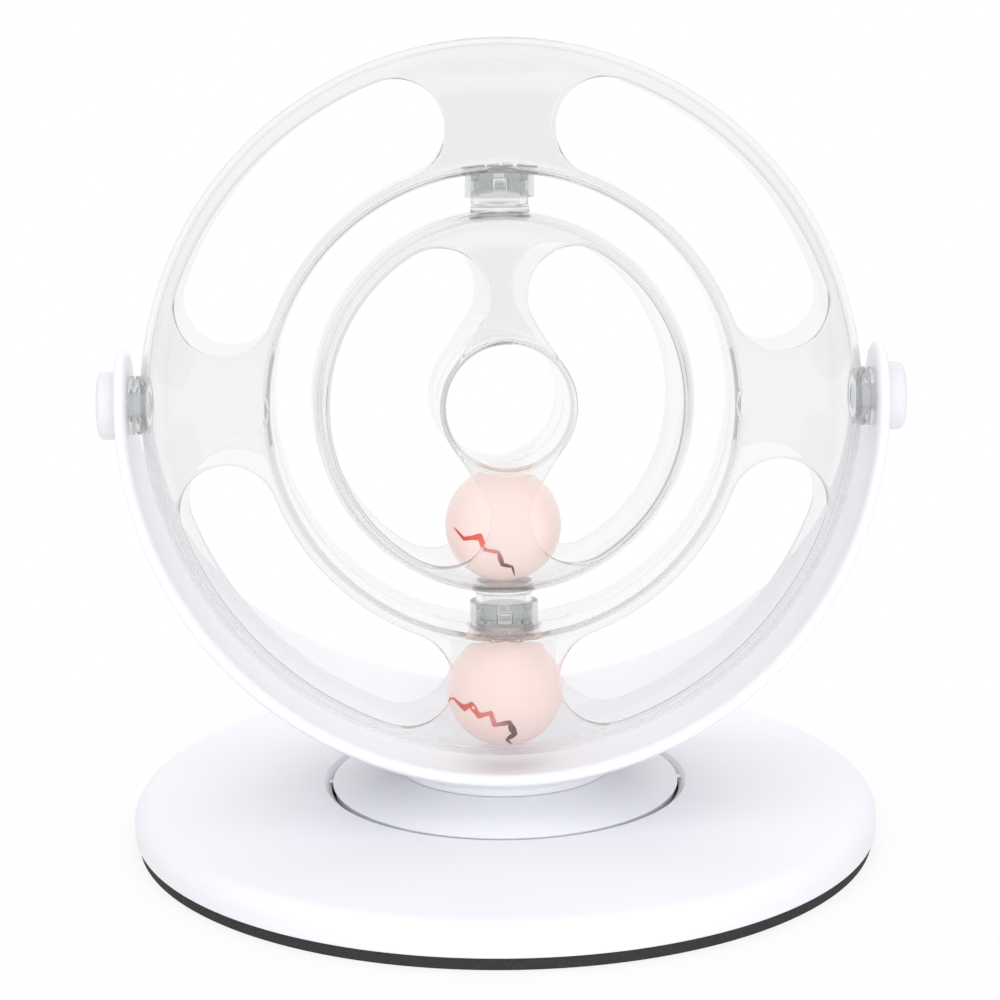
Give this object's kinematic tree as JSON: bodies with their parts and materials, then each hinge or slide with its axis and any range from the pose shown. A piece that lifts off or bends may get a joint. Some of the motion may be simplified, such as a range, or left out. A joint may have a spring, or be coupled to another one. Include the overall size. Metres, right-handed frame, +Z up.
{
  "type": "electric turntable cat toy",
  "caption": "Cat toy with clear ring tracks that hold balls, nested on crossed pivots in a white yoke on a driven turntable over a round base.",
  "frame": {"origin": "centre of the foam pad's underside, where the toy stands", "axes": "+Z up along the turntable's axis, +X along the pivot line towards the right-hand knob, -Y towards the front"},
  "size_m": [0.2534, 0.24, 0.2555],
  "materials": {
    "white_plastic": "satin moulded",
    "clear_plastic": "clear polished",
    "foam_pad": "closed-cell foam",
    "ball_plastic": "gloss with a printed crack",
    "screw_steel": "zinc plated",
    "motor_steel": "drawn can",
    "cell_jacket": "printed jacket, plain",
    "contact_brass": "plain",
    "gear_nylon": "natural nylon",
    "switch_plastic": "black moulded",
    "wire_cover": "soft cover"
  },
  "bodies": {
    "base": {"base_pad": "foam_pad", "base_shell": "white_plastic", "base_floor": "white_plastic", "floor_screws": "screw_steel", "battery_cells": "cell_jacket", "battery_contacts": "contact_brass", "battery_door": "white_plastic", "door_screw": "screw_steel", "switch_body": "switch_plastic", "wire_harness": "wire_cover", "gearbox_case": "gear_nylon", "motor_can": "motor_steel", "motor_clamp": "screw_steel", "clamp_screws": "screw_steel", "spindle_washer": "screw_steel", "spindle_screw": "screw_steel"},
    "switch": {"switch_slider": "switch_plastic"},
    "drive": {"gearbox_shaft": "screw_steel", "drive_pinion": "gear_nylon"},
    "turntable": {"spindle_bush": "contact_brass", "turntable_disc": "white_plastic", "turntable_gear": "gear_nylon", "yoke": "white_plastic", "yoke_screws": "screw_steel", "left_pivot_knob": "white_plastic", "right_pivot_knob": "white_plastic"},
    "outer_ring": {"left_pivot_bush": "clear_plastic", "right_pivot_bush": "clear_plastic", "outer_front_upper_right": "clear_plastic", "outer_front_upper_left": "clear_plastic", "outer_front_lower_left": "clear_plastic", "outer_front_lower_right": "clear_plastic", "outer_rear_upper_right": "clear_plastic", "outer_rear_upper_left": "clear_plastic", "outer_rear_lower_left": "clear_plastic", "outer_rear_lower_right": "clear_plastic", "upper_swivel_socket": "clear_plastic", "lower_swivel_socket": "clear_plastic"},
    "inner_ring": {"inner_front_right": "clear_plastic", "inner_front_left": "clear_plastic", "inner_rear_right": "clear_plastic", "inner_rear_left": "clear_plastic", "upper_swivel_pin": "clear_plastic", "lower_swivel_pin": "clear_plastic"},
    "outer_ball": {"outer_ball": "ball_plastic"},
    "inner_ball": {"inner_ball": "ball_plastic"}
  },
  "joints": [
    {"name": "turntable_spin", "type": "hinge", "parent": "base", "child": "turntable", "pos_m": [0, 0, 0], "axis": [0, 0, 1], "continuous": true},
    {"name": "pinion_spin", "type": "hinge", "parent": "base", "child": "drive", "pos_m": [0, 0.03015, 0], "axis": [0, 0, 1], "continuous": true},
    {"name": "outer_ring_tumble", "type": "hinge", "parent": "turntable", "child": "outer_ring", "pos_m": [0, 0, 0.14228], "axis": [1, 0, 0], "continuous": true},
    {"name": "inner_ring_spin", "type": "hinge", "parent": "outer_ring", "child": "inner_ring", "pos_m": [0, 0, 0.14228], "axis": [0, 0.0872, 0.9962], "continuous": true},
    {"name": "outer_ball_roll", "type": "hinge", "parent": "outer_ring", "child": "outer_ball", "pos_m": [0, 0, 0.14228], "axis": [0, 0.9962, -0.0872], "continuous": true},
    {"name": "inner_ball_roll", "type": "hinge", "parent": "inner_ring", "child": "inner_ball", "pos_m": [0, 0, 0.14228], "axis": [-0.0958, 0.9916, -0.0868], "continuous": true},
    {"name": "switch_slide", "type": "slide", "parent": "base", "child": "switch", "axis": [1, 0, 0], "range_m": [0, 0.003]}
  ],
  "couplings": [
    {"joint": "pinion_spin", "follows": "turntable_spin", "ratio": -4}
  ]
}
